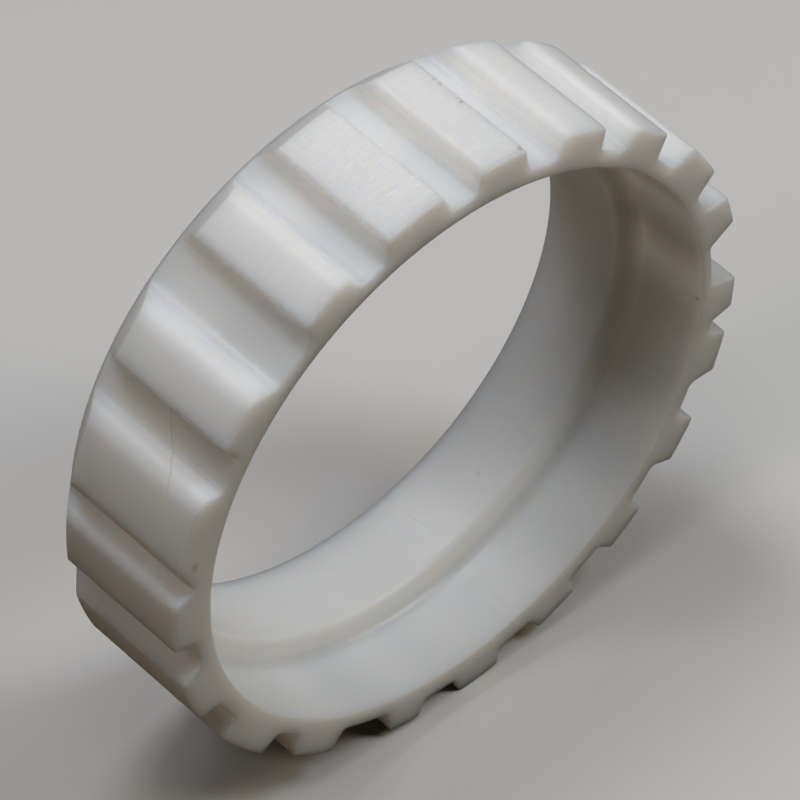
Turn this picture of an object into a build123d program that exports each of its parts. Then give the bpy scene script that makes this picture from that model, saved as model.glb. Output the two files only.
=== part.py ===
from build123d import *
import os
from math import sin, cos, tan, radians, degrees, hypot

# One-piece toothed ring with a stepped bore. All lengths in millimetres, angles in degrees.
# Frame: the ring stands on its teeth. Its axis is Y, +Z is up, and the origin is the
# middle of the ring. The front face, with the larger bore, looks towards -Y.

# ---- driving dimensions ----
TIP_R = 25.0            # radius over the tooth tips
WIDTH = 13.2            # front face to back face
FRONT_BORE_R = 21.85    # larger bore, open at the front
FRONT_BORE_DEPTH = 6.3  # front face to the shoulder
BACK_BORE_R = 19.9      # smaller bore, open at the back
SHOULDER_ROUND = 0.75   # rolled edge and hollow corner of the shoulder
BACK_RIM_R = 22.7       # outside radius left at the back face by the tooth-end chamfer
BORE_BREAK = 0.10       # 45 degree break on both bore mouths

FRONT_Y, BACK_Y = -WIDTH / 2, WIDTH / 2
SHOULDER_Y = FRONT_Y + FRONT_BORE_DEPTH

TIP_CLEARANCE = 2.0     # how far the envelope reaches outside the tooth tips
BORE_OVERRUN = 1.0      # how far the bore cutter runs past each face
MATCH_TOLERANCE = 0.001  # for finding a tooth corner by its place

# Each tooth: start and end of its flat land, root radius of the gap after it, slopes from
# radial of the flanks before and after the land, rounding of the land's first and second
# long edge, corner radius in the gap after it.
# Angles run clockwise from the top, seen from the front. The teeth are cut unevenly:
# lands, gaps, root depths, some flanks and the roundings all differ.
COMMON = (15, 20, 0.30, 0.30, 0.45)  # slopes and roundings shared by most teeth
TEETH = [
    (-94.0, -83.9, 23.55, 15, 20, 0.30, 0.80, 0.30),
    (-77.7, -63.9, 23.25, 48, 20, 1.50, 1.60, 0.50),
    (-54.8, -45.3, 23.20, 15, 30, 0.40, 2.00, 1.40),
    (-32.5, -23.3, 23.12, 15, 20, 0.30, 1.20, 0.90),
    (-15.3, -3.9, 23.12, 3, 20, 0.50, 0.60, 0.80),
    (3.7, 12.7, 23.12, 3, 20, 0.80, 0.30, 0.60),
    (21.7, 30.1, 23.12, 10, 20, 0.90, 0.30, 0.60),
    (38.2, 46.5, 23.12, 10, 20, 0.70, 0.30, 0.60),
    (55.4, 64.9, 23.00, *COMMON), (73.0, 79.6, 22.75, *COMMON),
    (92.6, 98.9, 23.25, *COMMON), (104.0, 111.7, 23.05, *COMMON),
    (120.9, 128.8, 23.30, *COMMON), (138.1, 145.9, 23.54, *COMMON),
    (154.9, 162.9, 23.67, *COMMON), (171.8, 179.9, 23.60, *COMMON),
    (188.4, 194.7, 23.22, *COMMON), (207.8, 216.9, 23.30, *COMMON),
    (225.4, 237.2, 23.38, *COMMON), (246.7, 257.3, 23.28, *COMMON),
]


def polar(radius, angle):
    """Point in the tooth profile's plane, which has X to the right and Z up."""
    return (radius * sin(radians(angle)), radius * cos(radians(angle)))


def with_next(items):
    """Each item paired with the one after it, the last with the first."""
    return zip(items, items[1:] + items[:1])


def flank_span(root, slope):
    """Angle that a flank of this slope takes up between root and tip."""
    return degrees((TIP_R - root) * tan(radians(slope)) / root)


def tooth_layout():
    """Land and root arcs in order, and the sharp corners grouped by rounding radius."""
    arcs = []     # (radius, start angle, end angle)
    corners = {}  # rounding radius -> corner points
    for tooth, after in with_next(TEETH):
        start, end, root, _, trail_slope, first, second, hollow = tooth
        next_start = after[0] + (360.0 if after is TEETH[0] else 0.0)
        root_start = end + flank_span(root, trail_slope)
        root_end = next_start - flank_span(root, after[3])
        arcs += [(TIP_R, start, end), (root, root_start, root_end)]
        for size, corner in (
            (first, polar(TIP_R, start)),
            (second, polar(TIP_R, end)),
            (hollow, polar(root, root_start)),
            (hollow, polar(root, root_end)),
        ):
            corners.setdefault(size, []).append(corner)
    return arcs, corners


def toothed_blank():
    """Solid disc with the full tooth profile, front face to back face."""
    arcs, corners = tooth_layout()
    front = Plane(origin=(0, FRONT_Y, 0), x_dir=(1, 0, 0), z_dir=(0, -1, 0))
    with BuildSketch(front) as outline:
        with BuildLine():
            for (radius, start, end), (next_radius, next_start, _) in with_next(arcs):
                ThreePointArc(
                    polar(radius, start), polar(radius, (start + end) / 2), polar(radius, end)
                )
                Line(polar(radius, end), polar(next_radius, next_start))
        make_face()
        for size, places in corners.items():
            found = [v for v in outline.vertices()
                     if any(hypot(v.X - x, v.Y - y) < MATCH_TOLERANCE for x, y in places)]
            assert len(found) == len(places), "a corner of the tooth profile was not found"
            fillet(found, size)
    return extrude(outline.sketch, amount=-WIDTH)


def turned(points, round_y=None, round_radius=0):
    """Solid of revolution about Y from (radius, y) corners; those at round_y are rounded."""
    with BuildPart() as body:
        with BuildSketch(Plane.XY):
            with BuildLine():
                Polyline(*points, close=True)
            make_face()
            if round_y is not None:
                fillet([v for v in vertices() if abs(v.Y - round_y) < 1e-6], round_radius)
        revolve(axis=Axis.Y)
    return body.part


def envelope():
    """Full height at the front, a 45 degree chamfer down to the back rim."""
    outer_r = TIP_R + TIP_CLEARANCE
    chamfer_y = BACK_Y - (outer_r - BACK_RIM_R)
    return turned([
        (0, FRONT_Y), (outer_r, FRONT_Y), (outer_r, chamfer_y), (BACK_RIM_R, BACK_Y), (0, BACK_Y),
    ])


def stepped_bore():
    """Cutter for both bores, their broken mouths and the rounded shoulder."""
    flare = BORE_BREAK + BORE_OVERRUN
    points = [
        (0, FRONT_Y - BORE_OVERRUN),
        (FRONT_BORE_R + flare, FRONT_Y - BORE_OVERRUN),
        (FRONT_BORE_R, FRONT_Y + BORE_BREAK),
        (FRONT_BORE_R, SHOULDER_Y),
        (BACK_BORE_R, SHOULDER_Y),
        (BACK_BORE_R, BACK_Y - BORE_BREAK),
        (BACK_BORE_R + flare, BACK_Y + BORE_OVERRUN),
        (0, BACK_Y + BORE_OVERRUN),
    ]
    return turned(points, SHOULDER_Y, SHOULDER_ROUND)


ring = ((toothed_blank() & envelope()) - stepped_bore()).solids()[0]
ring.label = "toothed_ring"

os.makedirs("parts", exist_ok=True)
export_step(ring, "parts/toothed_ring.step")
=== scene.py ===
"""White plastic ring with twenty uneven teeth round its outside and a stepped bore.

It stands on edge: the axis runs along Y, the front face looks to -Y and the top is +Z.
Clock angles are in degrees, clockwise from the top as seen from the front.
Shape sizes are in millimetres, scaled to metres by MM.
"""
import math
from math import radians

import bpy
import numpy as np
from mathutils import Matrix, Vector, noise


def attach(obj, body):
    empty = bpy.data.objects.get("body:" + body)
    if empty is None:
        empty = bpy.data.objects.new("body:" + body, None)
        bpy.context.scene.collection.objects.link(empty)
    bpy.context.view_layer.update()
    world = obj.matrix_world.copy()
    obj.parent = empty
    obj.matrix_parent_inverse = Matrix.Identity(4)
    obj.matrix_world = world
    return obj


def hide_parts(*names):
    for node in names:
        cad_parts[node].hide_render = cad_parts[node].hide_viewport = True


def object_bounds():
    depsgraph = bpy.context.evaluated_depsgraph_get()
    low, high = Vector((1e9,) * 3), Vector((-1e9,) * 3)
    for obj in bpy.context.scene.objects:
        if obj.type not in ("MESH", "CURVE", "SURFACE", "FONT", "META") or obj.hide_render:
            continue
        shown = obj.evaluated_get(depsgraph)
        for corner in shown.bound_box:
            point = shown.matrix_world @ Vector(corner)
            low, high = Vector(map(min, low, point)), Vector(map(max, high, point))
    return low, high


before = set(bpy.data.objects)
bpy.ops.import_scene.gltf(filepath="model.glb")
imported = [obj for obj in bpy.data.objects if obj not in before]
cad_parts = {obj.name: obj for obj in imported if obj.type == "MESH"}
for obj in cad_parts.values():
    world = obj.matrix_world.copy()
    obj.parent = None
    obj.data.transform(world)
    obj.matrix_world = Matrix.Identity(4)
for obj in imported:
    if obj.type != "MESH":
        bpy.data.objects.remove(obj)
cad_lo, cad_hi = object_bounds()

MM = 0.001

# ------------------------------------------------------------------ sizes
TIP_R = 25.0
WIDTH = 13.2
FRONT_BORE_R = 21.85
FRONT_BORE_DEPTH = 6.3
BACK_BORE_R = 19.9
SHOULDER_ROUND = 0.75  # both corners of the shoulder between the bores
BACK_RIM_R = 22.7      # where the 45 degree back chamfer meets the back face
BORE_BREAK = 0.10      # rounding of the bore mouths
FRONT_EDGE = 0.20      # worn edge between the front face and the teeth
CHAMFER_EDGE = 0.18    # worn edge where the lands meet the back chamfer
RIM_EDGE = 0.15        # worn edge between the back chamfer and the back face
Y0, Y1 = -WIDTH / 2, WIDTH / 2    # front face, back face

# Clockwise from the top: start and end of the land, root radius of the gap after it,
# slopes from radial of the flanks before and after the land, rounding of the land's
# first and second edge, corner radius in the gap after it
TEETH = [
    (-94.0, -83.9, 23.55, 15, 20, 0.30, 0.80, 0.30),
    (-77.7, -63.9, 23.25, 48, 20, 1.50, 1.60, 0.50),
    (-54.8, -45.3, 23.20, 15, 30, 0.40, 2.00, 1.40),
    (-32.5, -23.3, 23.12, 15, 20, 0.30, 1.20, 0.90),
    (-15.3, -3.9, 23.12, 3, 20, 0.50, 0.60, 0.80),
    (3.7, 12.7, 23.12, 3, 20, 0.80, 0.30, 0.60),
    (21.7, 30.1, 23.12, 10, 20, 0.90, 0.30, 0.60),
    (38.2, 46.5, 23.12, 10, 20, 0.70, 0.30, 0.60),
    (55.4, 64.9, 23.00, 15, 20, 0.30, 0.30, 0.45),
    (73.0, 79.6, 22.75, 15, 20, 0.30, 0.30, 0.45),
    (92.6, 98.9, 23.25, 15, 20, 0.30, 0.30, 0.45),
    (104.0, 111.7, 23.05, 15, 20, 0.30, 0.30, 0.45),
    (120.9, 128.8, 23.30, 15, 20, 0.30, 0.30, 0.45),
    (138.1, 145.9, 23.54, 15, 20, 0.30, 0.30, 0.45),
    (154.9, 162.9, 23.67, 15, 20, 0.30, 0.30, 0.45),
    (171.8, 179.9, 23.60, 15, 20, 0.30, 0.30, 0.45),
    (188.4, 194.7, 23.22, 15, 20, 0.30, 0.30, 0.45),
    (207.8, 216.9, 23.30, 15, 20, 0.30, 0.30, 0.45),
    (225.4, 237.2, 23.38, 15, 20, 0.30, 0.30, 0.45),
    (246.7, 257.3, 23.28, 15, 20, 0.30, 0.30, 0.45),
]
# How strongly each tooth's land shows fine strokes, in the order of TEETH; their brightening in
# the colour is partly a painted sheen, strongest on the fifth tooth, where the lamps' sheen falls
STREAK_AND_SHEEN = [0.15, 0.15, 0.15, 0.30, 1.00, 0.36, 0.25, 0.20, 0.20, 0.20,
          0.20, 0.20, 0.20, 0.20, 0.20, 0.20, 0.20, 0.20, 0.20, 0.15]

# Nicks in the tooth edges and pits: clock angle, y, half length round the ring,
# half width along the axis, depth
DARK_NICKS = [
    (12.45, 1.61, 0.22, 0.11, 0.10),
    (12.10, 2.15, 0.16, 0.09, 0.06),
    (12.35, -0.52, 0.26, 0.13, 0.12),
    (12.05, -0.15, 0.14, 0.09, 0.05),
    (12.30, -6.12, 0.24, 0.16, 0.14),
]
CLEAN_NICKS = [
    (-63.9, 3.4, 0.14, 0.12, 0.05),
    (-24.5, -4.9, 0.15, 0.12, 0.06),
    (46.3, 1.2, 0.18, 0.12, 0.07),
    (79.5, -3.6, 0.16, 0.14, 0.08),
]
# Coloured only, near the bore
PITS = [
    (93.8, -6.17, 0.16, 0.16, 0.1),
    (150.6, 2.4, 0.12, 0.12, 0.05),
]
NICK_RING_R = 24.6     # radius at which nick lengths are measured
NICK_MIN_R = 22.9      # nicks only cut outside this radius


# ------------------------------------------------------------------ tooth outline, in (x, z)
def polar(radius, clock):
    return np.array([radius * math.sin(radians(clock)), radius * math.cos(radians(clock))])


def clock_near(point, near):
    """Clock angle of a point, on the same turn as the angle near it."""
    clock = math.degrees(math.atan2(point[0], point[1]))
    return near + (clock - near + 180.0) % 360.0 - 180.0


def fillet(far, corner, arc_r, rounding, arc_mid, is_land):
    """Rounding where the flank from far meets the arc at corner, listed from flank to arc."""
    flank = (corner - far) / np.linalg.norm(corner - far)
    side = np.array([-flank[1], flank[0]])
    if side @ (arc_mid - corner) < 0:
        side = -side
    offset = corner + rounding * side
    centre_r = arc_r - rounding if is_land else arc_r + rounding
    middle = flank @ offset
    spread = math.sqrt(middle * middle - (offset @ offset - centre_r * centre_r))
    back = min(v for v in (middle - spread, middle + spread) if v > 0)
    centre = offset - back * flank
    first = corner - back * flank - centre
    last = centre / np.linalg.norm(centre) * arc_r - centre
    turn = math.atan2(first[0] * last[1] - first[1] * last[0], first @ last)
    steps = max(5, int(math.ceil(rounding * abs(turn) / 0.16)))
    points = []
    for j in range(steps + 1):
        cos, sin = math.cos(turn * j / steps), math.sin(turn * j / steps)
        points.append(centre + np.array([first[0] * cos - first[1] * sin,
                                         first[0] * sin + first[1] * cos]))
    return points


def tooth_arcs():
    """Lands and gap floors in turn: radius, start, end, start and end rounding, tooth."""
    arcs = []
    for i, (start, end, root_r, _, slope, first, second, hollow) in enumerate(TEETH):
        following = TEETH[(i + 1) % len(TEETH)]
        next_start = following[0] + (360.0 if i == len(TEETH) - 1 else 0.0)
        height = TIP_R - root_r
        lead = math.degrees(height * math.tan(radians(following[3])) / root_r)
        trail = math.degrees(height * math.tan(radians(slope)) / root_r)
        arcs.append((TIP_R, start, end, first, second, i))
        arcs.append((root_r, end + trail, next_start - lead, hollow, hollow, i))
    return arcs


def tooth_outline():
    """Points, outward normals, land flags, tooth numbers, and the crest and valley corners."""
    arcs = tooth_arcs()
    points, on_land, tooth_ids, crests, valleys = [], [], [], [], []

    def put_points(new, is_land, tooth_id):
        points.extend(new)
        on_land.extend([is_land] * len(new))
        tooth_ids.extend([tooth_id] * len(new))

    ends = []
    for i, (radius, start, end, round_in, round_out, _) in enumerate(arcs):
        before, after = arcs[i - 1], arcs[(i + 1) % len(arcs)]
        is_land = i % 2 == 0
        mid = polar(radius, (start + end) / 2)
        head = fillet(polar(before[0], before[2]), polar(radius, start),
                      radius, round_in, mid, is_land)
        tail = fillet(polar(after[0], after[1]), polar(radius, end),
                      radius, round_out, mid, is_land)[::-1]
        ends.append((head, tail))

    for i, (radius, start, end, _, _, tooth_id) in enumerate(arcs):
        head, tail = ends[i]
        is_land = i % 2 == 0
        corners = crests if is_land else valleys
        corners.append(len(points) + len(head) // 2)
        put_points(head, is_land, tooth_id)
        first, last = clock_near(head[-1], start), clock_near(tail[0], end)
        steps = max(2, int(round(radius * radians(last - first) / 0.42)))
        put_points([polar(radius, first + (last - first) * j / steps) for j in range(1, steps)],
                   is_land, tooth_id)
        corners.append(len(points) + len(tail) // 2)
        put_points(tail, is_land, tooth_id)
        # straight flank to the next arc
        p, q = tail[-1], ends[(i + 1) % len(arcs)][0][0]
        steps = max(3, int(round(np.linalg.norm(q - p) / 0.3)))
        put_points([p + (q - p) * j / steps for j in range(1, steps)], False, tooth_id)

    points = np.array(points)
    along = np.roll(points, -1, 0) - np.roll(points, 1, 0)
    along /= np.linalg.norm(along, axis=1)[:, None]
    normals = np.stack([-along[:, 1], along[:, 0]], 1)    # left of a clockwise path is outward
    return points, normals, np.array(on_land), np.array(tooth_ids), crests, valleys


def closeness(points, corners, reach):
    """How close each outline point is to a corner, 1 on it and falling to 0."""
    step = np.linalg.norm(np.roll(points, -1, 0) - points, axis=1)
    travelled = np.concatenate([[0], np.cumsum(step)])
    total, travelled = travelled[-1], travelled[:-1]
    gap = np.abs(travelled[:, None] - travelled[corners][None, :])
    gap = np.minimum(gap, total - gap).min(1)
    return np.exp(-(gap / reach) ** 2)


outline, normals, is_land, outline_tooth, crests, valleys = tooth_outline()
count = len(outline)
outline_r = np.linalg.norm(outline, axis=1)
directions = outline / outline_r[:, None]
near_crest = closeness(outline, crests, reach=0.28)
near_valley = closeness(outline, valleys, reach=0.32)

# Back chamfer: its depth varies with the outline, and both its edges are rounded
TAN_EDGE = math.tan(radians(22.5))
chamfer_depth = outline_r - BACK_RIM_R
chamfer_y = Y1 - chamfer_depth
slant = chamfer_depth * math.sqrt(2)
land_round = np.minimum(CHAMFER_EDGE, 0.4 * slant / TAN_EDGE)
land_cut = land_round * TAN_EDGE
rim_round = np.minimum(RIM_EDGE, 0.4 * slant / TAN_EDGE)
rim_cut = rim_round * TAN_EDGE

# ------------------------------------------------------------------ surface rows
FRONT_FACE, OUTSIDE, RIM, BACK_FACE, BORE, MOUTH = range(6)
rows = []    # each one turn round the ring: x, y, z, part, wear, root, land


def add_row(xz, y, part, wear=0.0, root=0.0, land=0.0):
    columns = (xz[:, 0], y, xz[:, 1], part, wear, root, land)
    rows.append(np.stack([np.broadcast_to(np.asarray(c, float), (count,)) for c in columns], 1))


def add_circle(radius, y, part, **more):
    radii = np.broadcast_to(np.asarray(radius, float), (count,))
    add_row(directions * radii[:, None], y, part, **more)


def steps_to(start, end, steps):
    """Even steps from start to end, without start itself."""
    return [start + (end - start) * k / steps for k in range(1, steps + 1)]


def turns(steps, full=90.0):
    return [radians(full * k / steps) for k in range(1, steps + 1)]


def add_front_face():
    """From the bore mouth out to the worn edge of the teeth, and round that edge."""
    inner = directions * (FRONT_BORE_R + BORE_BREAK)
    outer = outline - normals * FRONT_EDGE
    span = np.linalg.norm(outer - inner, axis=1)
    for s in (0.0, 0.05, 0.16, 0.32, 0.5, 0.68, 0.84, 0.95, 1.0):
        wear = np.maximum(np.exp(-((1 - s) * span / 0.2) ** 2),
                          0.6 * np.exp(-(s * span / 0.15) ** 2))
        add_row(inner + (outer - inner) * s, Y0, FRONT_FACE, wear=wear)
    for t in turns(4):
        add_row(outline - normals * FRONT_EDGE * (1 - math.sin(t)),
                Y0 + FRONT_EDGE * (1 - math.cos(t)), OUTSIDE, wear=1.0)


def tooth_stops(start):
    """Fractions of the tooth length for the rows, crowded together at the dark nicks."""
    length = Y1 - (TIP_R - BACK_RIM_R) - start
    crowded = [(nick[1] + shift - start) / length
               for nick in DARK_NICKS for shift in (-0.16, -0.08, 0.0, 0.08, 0.16)]
    stops = list(np.linspace(0, 1, 19)[1:]) + [s for s in crowded if 0.004 < s < 0.99]
    stops = sorted(set(round(float(s), 4) for s in stops))
    kept = [stops[0]]
    for s in stops[1:]:
        if s - kept[-1] > 0.0045:
            kept.append(s)
    kept[-1] = 1.0
    return kept


def add_teeth():
    """Straight along the axis, then the rounded edge to the back chamfer."""
    start, end = Y0 + FRONT_EDGE, chamfer_y - land_cut
    for s in tooth_stops(start):
        y = start + (end - start) * s
        front = np.exp(-((y - Y0) / 0.25) ** 2)
        back = np.exp(-((chamfer_y - y) / 0.22) ** 2) * is_land
        add_row(outline, y, OUTSIDE, wear=np.maximum.reduce([near_crest, front, 0.8 * back]),
                root=near_valley, land=is_land)
    for t in turns(3, full=45.0):
        add_circle(outline_r - land_round + land_round * math.cos(t),
                   chamfer_y - land_cut + land_round * math.sin(t), OUTSIDE,
                   wear=0.8 * is_land, root=0.5 * near_valley)


def add_back():
    """Chamfer, rim edge, back face and the mouth of the small bore."""
    outer_r, outer_y = outline_r - land_cut / math.sqrt(2), chamfer_y + land_cut / math.sqrt(2)
    inner_r, inner_y = BACK_RIM_R + rim_cut / math.sqrt(2), Y1 - rim_cut / math.sqrt(2)
    for k in range(1, 8):
        s = k / 7
        add_circle(outer_r + (inner_r - outer_r) * s, outer_y + (inner_y - outer_y) * s, OUTSIDE)
    for k in range(1, 4):
        t = radians(45 - 45 * k / 3)
        add_circle(BACK_RIM_R - rim_cut + rim_round * math.sin(t),
                   Y1 - rim_round + rim_round * math.cos(t), RIM, wear=0.8)
    mouth_r = BACK_BORE_R + BORE_BREAK
    for s in (0.06, 0.3, 0.6, 0.94, 1.0):
        add_circle((BACK_RIM_R - rim_cut) * (1 - s) + mouth_r * s, Y1, BACK_FACE,
                   wear=0.6 if s > 0.9 else 0.0)
    for t in turns(3):
        add_circle(mouth_r - BORE_BREAK * math.sin(t), Y1 - BORE_BREAK * (1 - math.cos(t)),
                   RIM, wear=0.8)


def add_bores():
    """Small bore, shoulder and large bore, from back to front."""
    shoulder_y = Y0 + FRONT_BORE_DEPTH
    small_end, large_start = shoulder_y + SHOULDER_ROUND, shoulder_y - SHOULDER_ROUND
    large_end = Y0 + BORE_BREAK
    for y in steps_to(Y1 - BORE_BREAK, small_end, 9):
        add_circle(BACK_BORE_R, y, BORE)
    for t in turns(7):
        add_circle(BACK_BORE_R + SHOULDER_ROUND * (1 - math.cos(t)),
                   small_end - SHOULDER_ROUND * math.sin(t), BORE, wear=0.1)
    add_circle((BACK_BORE_R + FRONT_BORE_R) / 2, shoulder_y, BORE)
    for t in [0.0] + turns(7):
        add_circle(FRONT_BORE_R - SHOULDER_ROUND + SHOULDER_ROUND * math.sin(t),
                   shoulder_y - SHOULDER_ROUND * (1 - math.cos(t)), BORE, root=0.4)
    for y in steps_to(large_start, large_end, 8):
        add_circle(FRONT_BORE_R, y, BORE)
    for t in turns(3)[:2]:    # the first row of the front face completes this edge
        add_circle(FRONT_BORE_R + BORE_BREAK * (1 - math.cos(t)),
                   large_end - BORE_BREAK * math.sin(t), MOUTH, wear=0.7)


def cut_nicks(verts, part):
    clock = np.arctan2(verts[:, 0], verts[:, 2])
    radius = np.hypot(verts[:, 0], verts[:, 2])
    outer = np.isin(part, [FRONT_FACE, OUTSIDE]) & (radius > NICK_MIN_R)
    dent = np.zeros(len(verts))
    for nick_clock, nick_y, half_length, half_width, depth in DARK_NICKS + CLEAN_NICKS:
        away = np.angle(np.exp(1j * (clock - radians(nick_clock)))) * NICK_RING_R
        shape = np.exp(-(away / half_length) ** 2 - ((verts[:, 1] - nick_y) / half_width) ** 2)
        dent = np.maximum(dent, shape * depth * outer)
    verts[:, 0] *= 1 - dent / radius
    verts[:, 2] *= 1 - dent / radius


def roughen(mesh, verts, part):
    """Slight unevenness of a real surface, always cut inwards."""
    vertex_normals = np.empty(len(verts) * 3)
    mesh.vertex_normals.foreach_get("vector", vertex_normals)
    soft = np.array([0.65 * noise.noise(Vector(p) * 0.33)
                     + 0.35 * noise.noise(Vector(p) * 1.05 + Vector((7, 3, 1))) for p in verts])
    depth = np.where(np.isin(part, [FRONT_FACE, BACK_FACE]), 0.008,
                     np.where(np.isin(part, [BORE, MOUTH]), 0.012, 0.020))
    verts = verts - vertex_normals.reshape(-1, 3) * ((0.5 + 0.5 * soft) * depth)[:, None]
    verts[:, 1] = np.clip(verts[:, 1], Y0, Y1)
    mesh.vertices.foreach_set("co", (verts * MM).ravel())
    mesh.update()


def build_ring():
    add_front_face()
    add_teeth()
    add_back()
    add_bores()
    table = np.concatenate(rows)
    verts = table[:, :3].copy()
    part, wear, root, land = table[:, 3:].T
    cut_nicks(verts, part)

    i = np.arange(count)
    j = (i + 1) % count
    quads = []
    for k in range(len(rows)):
        a, b = k * count, ((k + 1) % len(rows)) * count
        quads.append(np.stack([a + i, a + j, b + j, b + i], 1))
    mesh = bpy.data.meshes.new("ring_surface")
    mesh.from_pydata((verts * MM).tolist(), [], np.concatenate(quads).tolist())
    mesh.update()
    roughen(mesh, verts, part)
    for polygon in mesh.polygons:
        polygon.use_smooth = True

    streak_and_sheen = land * np.array(STREAK_AND_SHEEN)[np.tile(outline_tooth, len(rows))]
    for name, values in (("wear", wear), ("root", root), ("streak_and_sheen", streak_and_sheen),
                         ("land", land), ("bore", part == BORE)):
        attribute = mesh.attributes.new(name, "FLOAT", "POINT")
        attribute.data.foreach_set("value", np.ascontiguousarray(values, dtype=np.float32))
    ring = bpy.data.objects.new("ring_surface", mesh)
    bpy.context.scene.collection.objects.link(ring)
    return ring


ring = build_ring()

# ------------------------------------------------------------------ shader helpers
mat = bpy.data.materials.new("ring_plastic")
mat.use_nodes = True
tree = mat.node_tree
bsdf = tree.nodes["Principled BSDF"]


class Value:
    """An output socket; arithmetic on it makes Math nodes."""

    def __init__(self, socket):
        self.socket = socket

    def __add__(self, other):
        return calc("ADD", self, other)

    def __radd__(self, other):
        return calc("ADD", other, self)

    def __sub__(self, other):
        return calc("SUBTRACT", self, other)

    def __rsub__(self, other):
        return calc("SUBTRACT", other, self)

    def __mul__(self, other):
        return calc("MULTIPLY", self, other)

    def __truediv__(self, other):
        return calc("DIVIDE", self, other)


def put(socket, value):
    if isinstance(value, Value):
        tree.links.new(value.socket, socket)
    else:
        socket.default_value = value


def make(kind, inputs, output=0, **settings):
    """A node with its settings and inputs; gives one of its outputs."""
    node = tree.nodes.new("ShaderNode" + kind)
    for name, setting in settings.items():
        setattr(node, name, setting)
    for key, value in inputs.items():
        put(node.inputs[key], value)
    return Value(node.outputs[output])


def calc(operation, *values):
    return make("Math", dict(enumerate(values)), operation=operation)


def larger(a, b):
    return calc("MAXIMUM", a, b)


def vec(*xyz):
    return make("CombineXYZ", dict(enumerate(xyz)))


def cloud(where, scale, detail=2.0, rough=0.5):
    """Smooth noise, 0 to 1, around one half."""
    return make("TexNoise", {"Vector": where, "Scale": scale, "Detail": detail,
                             "Roughness": rough})


def ramp(value, start, end, low=0.0, high=1.0):
    """Smooth change from low to high as the value goes from start to end."""
    return make("MapRange", dict(enumerate((value, start, end, low, high))),
                interpolation_type="SMOOTHSTEP")


def attr(name):
    return make("Attribute", {}, "Fac", attribute_name=name)


def bell(value, centre, half):
    """1 where the value is at the centre, falling off smoothly over half."""
    away = (value - centre) / half
    return calc("EXPONENT", away * away * -1.0)


# Position on the ring, in millimetres
here = make("VectorMath", {0: make("TexCoord", {}, "Object"), "Scale": 1 / MM}, operation="SCALE")
split = make("SeparateXYZ", {0: here})
x, y, z = (Value(socket) for socket in split.socket.node.outputs)
angle = calc("ARCTAN2", x, z)    # clock angle in radians
radius = calc("SQRT", x * x + z * z)
around = angle * TIP_R
wear, root, streak_and_sheen, land, bore = map(attr, ("wear", "root", "streak_and_sheen", "land", "bore"))


def at_clock(clock, half):
    """Bell round the ring about a clock angle in degrees, half in millimetres."""
    return bell(around, centre=radians(clock) * TIP_R, half=half)


def near_bore():
    return ramp(radius, start=22.6, end=22.2)


def grain(ring, axis, out, detail, rough):
    """Noise with its own frequency round the ring, along the axis and along the radius."""
    return cloud(vec(around * ring, y * axis, radius * out), 1.0, detail, rough)


# ------------------------------------------------------------------ ring material: features
# Heights of the relief, in millimetres
RELIEF = dict(strokes=0.045, axial=0.006, turned=0.006, peel=0.010, scratch=0.022,
              marks=0.02, seam=0.010, pip_and_glint=0.030, gleam=0.040)

# short strokes round the ring on the lands, lines along the axis elsewhere,
# circular lines in the bores, and a soft unevenness all over
strokes = grain(ring=0.85, axis=6.5, out=0.5, detail=3.0, rough=0.62)
strokes_height = (strokes - 0.5) * streak_and_sheen * RELIEF["strokes"]
axial = grain(ring=5.0, axis=0.10, out=5.0, detail=2.0, rough=0.5)
axial_height = (axial - 0.5) * (1.0 - larger(land, bore)) * RELIEF["axial"]
turned = grain(ring=0.07, axis=3.2, out=3.2, detail=2.0, rough=0.55)
turned_height = (turned - 0.5) * bore * RELIEF["turned"]
peel_height = (cloud(here, scale=1.5, detail=3.0, rough=0.55) - 0.5) * RELIEF["peel"]

# Fine curved scratch from one tooth across the gap beside it: clock angle, y
SCRATCH = [(-66.4, -3.78), (-65.97, -3.68), (-64.67, -3.30), (-63.84, -2.99),
           (-63.26, -2.62), (-62.66, -1.98), (-61.95, -1.56), (-61.13, -1.25),
           (-59.73, -0.94), (-58.14, -0.51), (-56.9, -0.20), (-56.2, 0.0)]


def scratch_mask():
    first, last = SCRATCH[0][0], SCRATCH[-1][0]
    degrees = angle * (180.0 / math.pi)
    course = make("FloatCurve", {"Value": (degrees - first) / (last - first)})
    mapping = course.socket.node.mapping
    points = mapping.curves[0].points
    places = [((clock - first) / (last - first), (at_y - Y0) / WIDTH) for clock, at_y in SCRATCH]
    points[0].location = places[0]
    for place in places[1:-1]:
        points.new(*place)
    points[-1].location = places[-1]
    for point in points:
        point.handle_type = "VECTOR"
    mapping.update()
    inside = (ramp(degrees, start=-66.5, end=-66.0)
              * ramp(degrees, start=-56.0, end=-56.4))
    outside_bore = ramp(radius, start=22.0, end=22.6)
    return bell(y, centre=course * WIDTH - WIDTH / 2, half=0.075) * (outside_bore * inside)


def dark_marks():
    """The dark nicks, two pits, and a smudge on the front face beside one tooth."""
    spread, full_depth = 1.25, 0.12    # size against the nick; depth that is fully dark
    marks = None
    for mark in DARK_NICKS + PITS:
        clock, mark_y, half_length, half_width, depth = mark
        spot = (at_clock(clock, half=half_length * spread)
                * bell(y, centre=mark_y, half=half_width * spread))
        if mark in PITS:
            spot = spot * ramp(radius, start=22.6, end=22.0)
        spot = spot * min(1.0, depth / full_depth)
        marks = spot if marks is None else larger(marks, spot)
    smudge = (at_clock(-76.8, half=0.34) * bell(radius, centre=23.75, half=0.22)
              * ramp(y, start=-6.2, end=-6.5))
    return larger(marks, smudge * 0.75)


scratch = scratch_mask()
marks = dark_marks()
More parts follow.
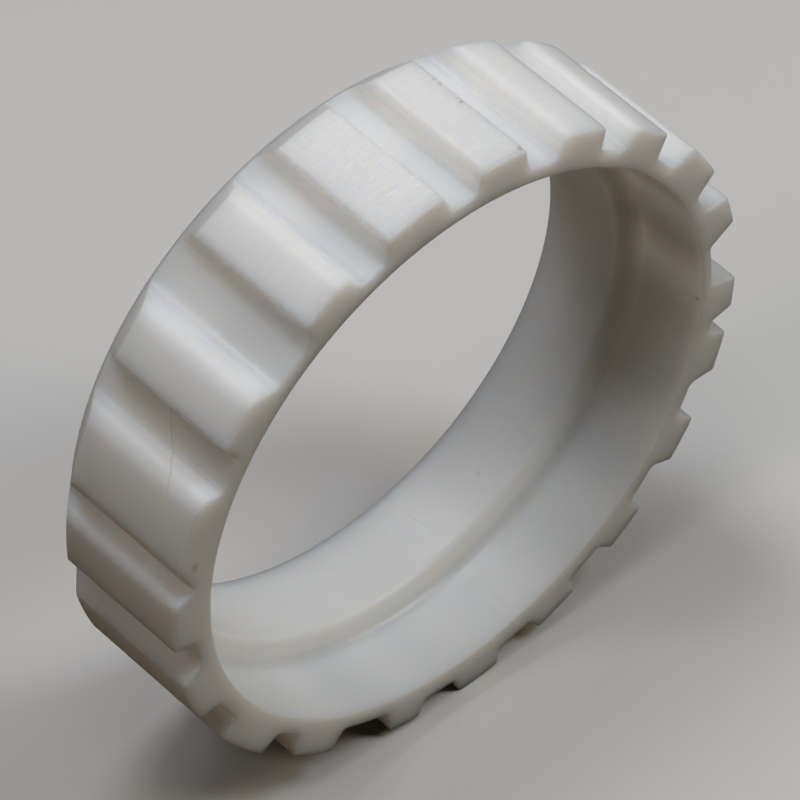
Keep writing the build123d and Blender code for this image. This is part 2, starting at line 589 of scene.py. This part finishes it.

# faint shiny raised lines along the foot of two gaps: a pair in one, a single one in the next;
# their lighter colour is a painted highlight
foot = (ramp(radius, start=24.3, end=23.9) * ramp(radius, start=22.9, end=23.2)
        * ramp(y, start=-6.5, end=-6.2))
gleam = larger(at_clock(-82.4, half=0.14), at_clock(-81.6, half=0.12) * 0.75)
gleam = larger(gleam, at_clock(-62.1, half=0.14) * 0.7) * foot

# a faint line along both bores: a dark hair, with a bright band beside it that is a painted
# highlight
seam_at = around + (cloud(here, scale=0.7) - 0.5) * 0.5
reach = larger(ramp(y, start=-6.3, end=-5.7) * ramp(y, start=-1.9, end=-2.6),
               ramp(y, start=1.6, end=2.2) * ramp(y, start=4.0, end=3.4))
reach = reach * near_bore()
seam = bell(seam_at, centre=radians(165.7) * TIP_R, half=0.10) * reach
seam_lit = bell(seam_at, centre=radians(166.4) * TIP_R, half=0.55) * reach
seam_height = (seam - seam_lit * 0.4) * RELIEF["seam"]

# two painted pools of light in the large bore, and a small shiny bump on the shoulder whose pale
# colour is a painted glint
bore_light_pools = larger(at_clock(168.6, half=1.9) * bell(y, centre=-1.5, half=0.75),
               at_clock(160.0, half=4.0) * bell(y, centre=-4.8, half=2.6) * 1.4)
# a small real bump whose near-white colour is a painted glint
pip_and_glint = at_clock(-172.6, half=0.30) * bell(y, centre=-0.78, half=0.15) * near_bore()

# the gaps between the teeth and the back chamfer: painted light, lighter than the lands to lift
# the shade in them
gaps = (1.0 - land) * ramp(radius, start=22.85, end=23.05) * ramp(y, start=-6.58, end=-6.40)
# noise for the painted shade in the concave roots
root_shade_cloud = cloud(vec(around * 0.9, y * 0.35, 0.0), scale=1.0, detail=3.0, rough=0.6)
big = cloud(here, scale=0.13, detail=3.0, rough=0.5)
fine = cloud(here, scale=3.0, detail=3.0, rough=0.6)

# ------------------------------------------------------------------ ring material: surface
# Milky white, then each layer over the last: where and how strongly, colour
colour = (0.880, 0.868, 0.846, 1)
LAYERS = [
    (ramp(big, start=0.3, end=0.7, high=0.55), (0.845, 0.825, 0.792)),     # broad clouds
    (ramp(fine, start=0.35, end=0.75, high=0.10), (0.80, 0.775, 0.735)),   # fine clouds
    # painted light: lifts the shade in the gaps and on the back chamfer
    (gaps * 0.80, (0.965, 0.955, 0.940)),
    (wear * 0.25, (0.915, 0.905, 0.885)),
    # painted shade: the concave roots and corners darkened in patches
    (root * ramp(root_shade_cloud, start=0.45, end=0.75, high=0.06), (0.60, 0.56, 0.49)),
    # fine strokes on the lands: real strokes, with their bright part partly a painted sheen
    (ramp(strokes, start=0.50, end=0.70) * (streak_and_sheen * 0.85), (0.990, 0.985, 0.975)),
    (ramp(strokes, start=0.50, end=0.30) * (streak_and_sheen * 0.30), (0.780, 0.765, 0.740)),
    (scratch * 0.30, (0.34, 0.31, 0.27)),
    (marks * 0.60, (0.27, 0.24, 0.20)),
    (seam * 0.10, (0.60, 0.57, 0.53)),
    # painted highlight beside the bore seam and painted pools of light in the large bore
    (larger(seam_lit * 0.62, bore_light_pools * 0.35) * near_bore(), (0.985, 0.98, 0.97)),
    # painted glint on the small bump on the shoulder
    (pip_and_glint * 0.9, (0.99, 0.99, 0.985)),
    # painted highlight along the foot of two gaps
    (gleam * 0.70, (0.985, 0.98, 0.97)),
]
for amount, rgb in LAYERS:
    colour = make("Mix", {0: amount, 6: colour, 7: (*rgb, 1)}, 2, data_type="RGBA")
put(bsdf.inputs["Base Color"], colour)

# Roughness: a satin base, and what each feature adds or takes away
roughness = (
    0.46 + (cloud(here, scale=0.45, detail=3.0, rough=0.6) - 0.5) * 0.16
    + (fine - 0.5) * 0.10
    - root * 0.20
    - wear * 0.06
    - bore * 0.07
    + streak_and_sheen * ((strokes - 0.5) * 0.5)
    + larger(scratch, marks) * 0.25
    - (pip_and_glint * 0.25 + gleam * 0.15)
)
put(bsdf.inputs["Roughness"], larger(roughness, 0.16))

height = (
    (strokes_height + axial_height) + (turned_height + peel_height)
    - (scratch * RELIEF["scratch"] + (marks * RELIEF["marks"] + seam_height))
    + (pip_and_glint * RELIEF["pip_and_glint"] + gleam * RELIEF["gleam"])
)
put(bsdf.inputs["Normal"],
    make("Bump", {"Strength": 1.0, "Distance": MM, "Height": height}, "Normal"))

# light soaks a few millimetres into the plastic, red furthest
for name, value in {
    "IOR": 1.49,
    "Specular IOR Level": 0.42,
    "Subsurface Weight": 1.0,
    "Subsurface Radius": (1.10, 0.88, 0.70),
    "Subsurface Scale": 0.0042,
    "Subsurface Anisotropy": 0.8,
}.items():
    put(bsdf.inputs[name], value)
ring.data.materials.append(mat)

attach(ring, "root")
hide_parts("toothed_ring")

# ------------------------------------------------------------------ floor
FLOOR_SEEN, FLOOR_BOUNCE = 0.74, 0.09    # brightness to the camera, and to all other rays


def build_floor():
    bpy.ops.mesh.primitive_plane_add(size=4.0, location=(0, 0, cad_lo.z))
    floor = bpy.context.object
    floor.name = "floor"
    material = bpy.data.materials.new("floor")
    material.use_nodes = True
    nodes, links = material.node_tree.nodes, material.node_tree.links
    shader = nodes["Principled BSDF"]
    rays = nodes.new("ShaderNodeLightPath")
    mix = nodes.new("ShaderNodeMix")
    mix.data_type = "RGBA"
    mix.inputs[6].default_value = (FLOOR_BOUNCE * 1.15, FLOOR_BOUNCE * 0.83,
                                   FLOOR_BOUNCE * 0.45, 1)
    mix.inputs[7].default_value = (FLOOR_SEEN, FLOOR_SEEN, FLOOR_SEEN * 0.99, 1)
    links.new(rays.outputs["Is Camera Ray"], mix.inputs[0])
    links.new(mix.outputs[2], shader.inputs["Base Color"])
    shader.inputs["Roughness"].default_value = 0.9
    floor.data.materials.append(material)


build_floor()

# ------------------------------------------------------------------ lights
LAMP_SIZE, LAMP_DISTANCE = 0.14, 0.45    # metres
# Name, azimuth from the front towards +X, elevation, watts, colour
LAMPS = [
    ("top_back", 180, 75, 0.485, (1.00, 1.00, 1.03)),
    ("front_right", 45, 55, 0.408, (0.92, 0.98, 1.10)),
    ("front_low", 45, 35, 0.264, (1.20, 1.03, 0.70)),
    ("left", 270, 55, 0.197, (1.10, 1.00, 0.95)),
    ("back", 180, 55, 0.139, (1.00, 1.00, 1.00)),
    ("top_left", 300, 75, 0.118, (1.08, 1.04, 0.80)),
    ("top_right", 60, 75, 0.082, (0.90, 0.95, 1.15)),
]
for name, azimuth, elevation, watts, hue in LAMPS:
    azimuth, elevation = radians(azimuth), radians(elevation)
    location = LAMP_DISTANCE * Vector((math.sin(azimuth) * math.cos(elevation),
                                       -math.cos(azimuth) * math.cos(elevation),
                                       math.sin(elevation)))
    light = bpy.data.lights.new(name, "AREA")
    light.shape = "DISK"
    light.size = LAMP_SIZE
    light.energy = watts
    light.color = hue
    lamp = bpy.data.objects.new(name, light)
    lamp.location = location
    lamp.rotation_mode = "QUATERNION"
    lamp.rotation_quaternion = (-location).to_track_quat("-Z", "Y")
    bpy.context.scene.collection.objects.link(lamp)

world = bpy.data.worlds.new("studio")
world.use_nodes = True
background = world.node_tree.nodes["Background"]
background.inputs["Color"].default_value = (1, 1, 1, 1)
background.inputs["Strength"].default_value = 0.0    # the lamps give all the light
bpy.context.scene.world = world
bpy.context.scene.view_settings.view_transform = "Standard"

# ------------------------------------------------------------------ camera
CAMERA_RIGHT = Vector((0.74682, -0.66502, 0.0))
CAMERA_DOWN = Vector((-0.49112, -0.55153, -0.67426))
CAMERA_FORWARD = Vector((0.44840, 0.50355, -0.73850))
CAMERA_PLACE = Vector((-9.29024, -10.45087, 15.28463))    # in tip radii

camera_data = bpy.data.cameras.new("camera")
camera_data.sensor_width = 36.0
camera_data.lens = 350.27
camera_data.clip_start, camera_data.clip_end = 0.01, 10
camera = bpy.data.objects.new("camera", camera_data)
bpy.context.scene.collection.objects.link(camera)
turn = Matrix((CAMERA_RIGHT, -CAMERA_DOWN, -CAMERA_FORWARD)).transposed()
camera.matrix_world = Matrix.Translation(CAMERA_PLACE * (TIP_R * MM)) @ turn.to_4x4()
bpy.context.scene.camera = camera
